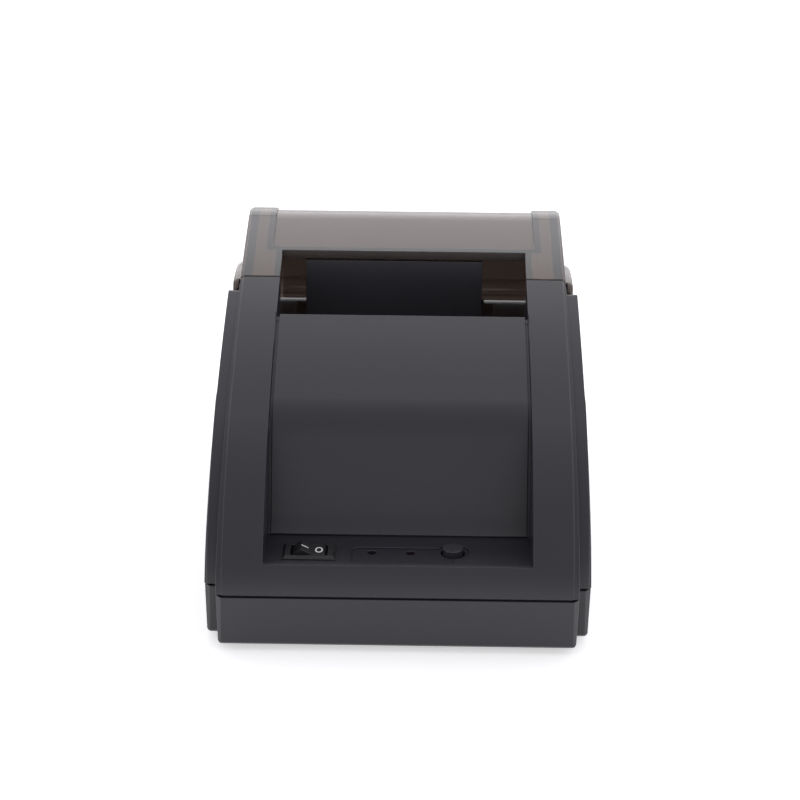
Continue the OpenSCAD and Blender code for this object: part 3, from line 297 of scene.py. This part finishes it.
def soften(name, radius_mm):
    radius = radius_mm * mm
    for weld_mm in (0.01, 0.003, 0.001, 0.0002):
        mesh, strips, count = bevelled(name, radius, weld_mm * mm)
        if all(edge.is_manifold for edge in mesh.edges):
            break
        mesh.free()
    else:
        print(name, "keeps its sharp edges, because no bevel leaves it closed")
        return
    normals = list(corner_normals(mesh, strips))
    copy = bpy.data.objects.new("soft_" + name, bpy.data.meshes.new("soft_" + name))
    bpy.context.scene.collection.objects.link(copy)
    mesh.to_mesh(copy.data)
    mesh.free()
    copy.data.polygons.foreach_set("use_smooth", [True] * len(copy.data.polygons))
    copy.data.normals_split_custom_set(normals)
    copy.data.materials.append(nodes[name].data.materials[0])
    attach(copy, nodes[name]["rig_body"])
    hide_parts(name)
    print(copy.name, "has", count, "round edges, points welded within", weld_mm, "mm")


edge_radius_mm = {"top_case": 0.25, "bottom_case": 0.3, "paper_cover": 0.25, "rocker": 0.15,
                  "rocker_housing": 0.15, "feed_button": 0.3, "paper_well": 0.2, "paper_guide": 0.2}
for name, radius_mm in edge_radius_mm.items():
    soften(name, radius_mm)

# %% [markdown]
# A rocker switch carries two generic marks, a bar for on and a ring for off, pad-printed in white
# ink. The ink stands a few hundredths of a millimetre proud of the plastic. Each mark is drawn flat
# and then tilted onto its own face of the rocker, which rises by 13.5 degrees to each side of the
# middle and is itself tilted by 13.5 degrees at rest.

# %% The marks on the rocker
white_ink = moulded_plastic("white pad-printing ink", "#f4f4f2", 0.45,
                            grain_mm=0.4, depth_mm=0.002, uneven=0.02)
rocker_pivot = Vector((-31.0, -80.517, 26.3)) * mm
rocker_fall, face_start = math.radians(13.5), 4.73 * mm
ink = 0.04 * mm


def mark(outline, inner, rise, middle):
    mesh = bmesh.new()
    place = (Matrix.Translation(rocker_pivot) @ Matrix.Rotation(rocker_fall, 4, "Y")
             @ Matrix.Translation((0, 0, face_start)) @ Matrix.Rotation(rise, 4, "Y")
             @ Matrix.Translation((middle, 0, 0)))
    rings = [[mesh.verts.new(place @ Vector((x, y, z))) for x, y in line]
             for line, z in ((outline, -ink), (outline, ink), (inner, ink), (inner, -ink)) if line]
    count = len(outline)
    pairs = zip(rings, rings[1:] + rings[:1]) if inner else [(rings[0], rings[1])]
    for first, second in pairs:
        for i in range(count):
            j = (i + 1) % count
            mesh.faces.new((first[i], first[j], second[j], second[i]))
    if not inner:
        mesh.faces.new(rings[1])
        mesh.faces.new(list(reversed(rings[0])))
    bmesh.ops.recalc_face_normals(mesh, faces=mesh.faces)
    return mesh


def oval(half_x, half_y, count=40, straight=0.0):
    line = []
    for i in range(count):
        x, y = math.cos(2 * math.pi * i / count), math.sin(2 * math.pi * i / count)
        line.append(((half_x * x + math.copysign(straight, x)) * mm, half_y * y * mm))
    return line


bar = mark(oval(0.26, 0.26, straight=1.1), None, rocker_fall, -2.9 * mm)
ring = mark(oval(1.35, 2.0), oval(0.9, 1.5), -rocker_fall, 2.3 * mm)
for name, mesh in (("on_mark", bar), ("off_mark", ring)):
    data = bpy.data.meshes.new(name)
    mesh.to_mesh(data)
    mesh.free()
    data.materials.append(white_ink)
    piece = bpy.data.objects.new(name, data)
    bpy.context.scene.collection.objects.link(piece)
    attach(piece, "rocker")
print("two marks on the rocker")

# %% [markdown]
# The leads behind the front panel repeat and follow a path, which is work for geometry nodes. A
# mesh of plain polylines goes in, one per conductor. The nodes round each bend, sweep a circle
# along the line, and give the tube its material. The result is kept as an ordinary mesh. A ribbon
# cable is a row of such tubes, set close enough to merge into one ridged strip.

# %% Leads
def lead_nodes():
    tree = bpy.data.node_groups.new("lead along a path", "GeometryNodeTree")
    for name, kind in (("Lines", "Geometry"), ("Radius", "Float"), ("Bend", "Float"), ("Finish", "Material")):
        tree.interface.new_socket(name, in_out="INPUT", socket_type="NodeSocket" + kind)
    tree.interface.new_socket("Leads", in_out="OUTPUT", socket_type="NodeSocketGeometry")
    given = add(tree, "NodeGroupInput").outputs
    line = add(tree, "GeometryNodeMeshToCurve", {"Mesh": given["Lines"]})
    bent = add(tree, "GeometryNodeFilletCurve",
               {"Curve": line.outputs[0], "Count": 8, "Radius": given["Bend"]}, mode="POLY")
    ring = add(tree, "GeometryNodeCurvePrimitiveCircle", {"Resolution": 16, "Radius": given["Radius"]})
    tube = add(tree, "GeometryNodeCurveToMesh",
               {"Curve": bent.outputs[0], "Profile Curve": ring.outputs[0], "Fill Caps": True})
    real = add(tree, "GeometryNodeRealizeInstances", {"Geometry": tube.outputs[0]})
    dressed = add(tree, "GeometryNodeSetMaterial", {"Geometry": real.outputs[0], "Material": given["Finish"]})
    add(tree, "NodeGroupOutput", {"Leads": dressed.outputs[0]})
    return tree


def lead(name, material, radius_mm, bend_mm, count):
    radius = radius_mm * mm
    low, high = (Vector(corner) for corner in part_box(name))
    path = [(low.y + radius, high.z), (low.y + radius, low.z + radius), (high.y, low.z + radius)]
    across = [low.x + radius + i * (high.x - low.x - 2 * radius) / (count - 1) for i in range(count)]
    lines = bpy.data.meshes.new(name + "_lines")
    links = [(3 * i + j, 3 * i + j + 1) for i in range(count) for j in (0, 1)]
    lines.from_pydata([(x, y, z) for x in across for y, z in path], links, [])
    drawn = bpy.data.objects.new(name + "_lines", lines)
    bpy.context.scene.collection.objects.link(drawn)
    modifier = drawn.modifiers.new("leads", "NODES")
    modifier.node_group = leads_tree
    values = {"Radius": radius, "Bend": bend_mm * mm, "Finish": material}
    for item in leads_tree.interface.items_tree:
        if item.name in values:
            modifier[item.identifier] = values[item.name]
    seen = drawn.evaluated_get(bpy.context.evaluated_depsgraph_get())
    mesh = bpy.data.meshes.new_from_object(seen)
    bpy.data.objects.remove(drawn)
    edit = bmesh.new()
    edit.from_mesh(mesh)
    bmesh.ops.recalc_face_normals(edit, faces=edit.faces)
    edit.to_mesh(mesh)
    edit.free()
    piece = bpy.data.objects.new("round_" + name, mesh)
    bpy.context.scene.collection.objects.link(piece)
    mesh.shade_smooth()
    mesh.set_sharp_from_angle(angle=math.radians(50))
    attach(piece, nodes[name]["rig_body"])
    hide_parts(name)
    print(piece.name, "has", count, "conductors and", len(mesh.polygons), "faces")


leads_tree = lead_nodes()
lead("switch_wires", red_insulation, 0.7, 2.7, 2)
lead("motor_cable", grey_ribbon, 0.4, 3.6, 8)
lead("panel_cable", grey_ribbon, 0.4, 3.6, 11)

# %% [markdown]
# The camera stands where the picture was taken from: a long lens, about two thirds of a metre from
# the front face, looking down by 22.7 degrees and turned by less than one degree.

# %% Camera
def aim(place, down, turn, roll):
    d, t, r = (math.radians(a) for a in (down, turn, roll))
    forward = Vector((math.sin(t) * math.cos(d), math.cos(t) * math.cos(d), -math.sin(d)))
    right = Vector((math.cos(t), -math.sin(t), 0))
    up = right.cross(forward)
    across = math.cos(r) * right - math.sin(r) * up
    upward = math.sin(r) * right + math.cos(r) * up
    turned = Matrix((across, upward, -forward)).transposed()
    return Matrix.Translation(place) @ turned.to_4x4()


camera = bpy.data.objects.new("camera", bpy.data.cameras.new("camera"))
bpy.context.scene.collection.objects.link(camera)
camera.data.sensor_width = 36.0
camera.data.lens = 97.85
camera.data.clip_start = 0.05
camera.matrix_world = aim(Vector((0.00538, -0.75838, 0.37187)), 22.73, -0.4487, -0.5908)
bpy.context.scene.camera = camera
print("the camera sees from", [round(v, 3) for v in camera.location])

# %% [markdown]
# The printer was photographed in a white tent. The world is white to the camera, and so is the
# floor. One wide lamp above and behind lights the top. The tent is dimmer on one side, above and
# in front, which gives the curved panel its soft shading.

# %% Studio
def lamp(name, place, target, size, power):
    light = bpy.data.objects.new(name, bpy.data.lights.new(name, "AREA"))
    light.data.shape = "RECTANGLE"
    light.data.size, light.data.size_y = size
    light.data.energy = power
    bpy.context.scene.collection.objects.link(light)
    look = Vector(target) - Vector(place)
    light.matrix_world = Matrix.Translation(place) @ look.to_track_quat("-Z", "Y").to_matrix().to_4x4()
    return light


lamp("softbox over the back", place=(0, 1.02, 0.69), target=(0, 0, 0.05), size=(1.6, 1.0), power=6.2)

world = bpy.data.worlds.new("tent")
bpy.context.scene.world = world
world.use_nodes = True
tree = world.node_tree
tree.nodes.clear()
direction = add(tree, "ShaderNodeTexCoord").outputs["Generated"]
dark_side = Vector((-0.25, -0.62, 0.74)).normalized()
facing = add(tree, "ShaderNodeVectorMath", {0: direction, 1: dark_side}, operation="DOT_PRODUCT")
facing = add(tree, "ShaderNodeMath", {0: facing.outputs["Value"], 1: 0.0}, operation="MAXIMUM")
facing = add(tree, "ShaderNodeMath", {0: facing.outputs[0], 1: 2.5}, operation="POWER")
wall = add(tree, "ShaderNodeMath", {0: facing.outputs[0], 1: -0.45, 2: 1.0}, operation="MULTIPLY_ADD")
path = add(tree, "ShaderNodeLightPath")
seen = any_of(tree, path.outputs["Is Camera Ray"], path.outputs["Is Transmission Ray"])
level = add(tree, "ShaderNodeMix", {"Factor": seen, "A": wall.outputs[0], "B": 1.0})
sky = add(tree, "ShaderNodeBackground", {"Color": (0.99, 0.98, 1.03, 1), "Strength": level.outputs["Result"]})
add(tree, "ShaderNodeOutputWorld", {"Surface": sky.outputs["Background"]})

# %% Floor
bpy.ops.mesh.primitive_plane_add(size=8, location=(0, 0, 0))
floor = bpy.context.object
floor.name = "floor"
material, tree, surface, place = new_material("white paper")
surface.inputs["Base Color"].default_value = (0.86, 0.86, 0.86, 1)
surface.inputs["Roughness"].default_value = 0.9
path = add(tree, "ShaderNodeLightPath")
seen = any_of(tree, path.outputs["Is Camera Ray"], path.outputs["Is Transmission Ray"],
              path.outputs["Is Glossy Ray"])
tree.links.new(seen, surface.inputs["Emission Strength"])
surface.inputs["Emission Color"].default_value = (0.5, 0.5, 0.5, 1)
floor.data.materials.append(material)

# %% Finish
bpy.context.scene.view_settings.view_transform = "Standard"
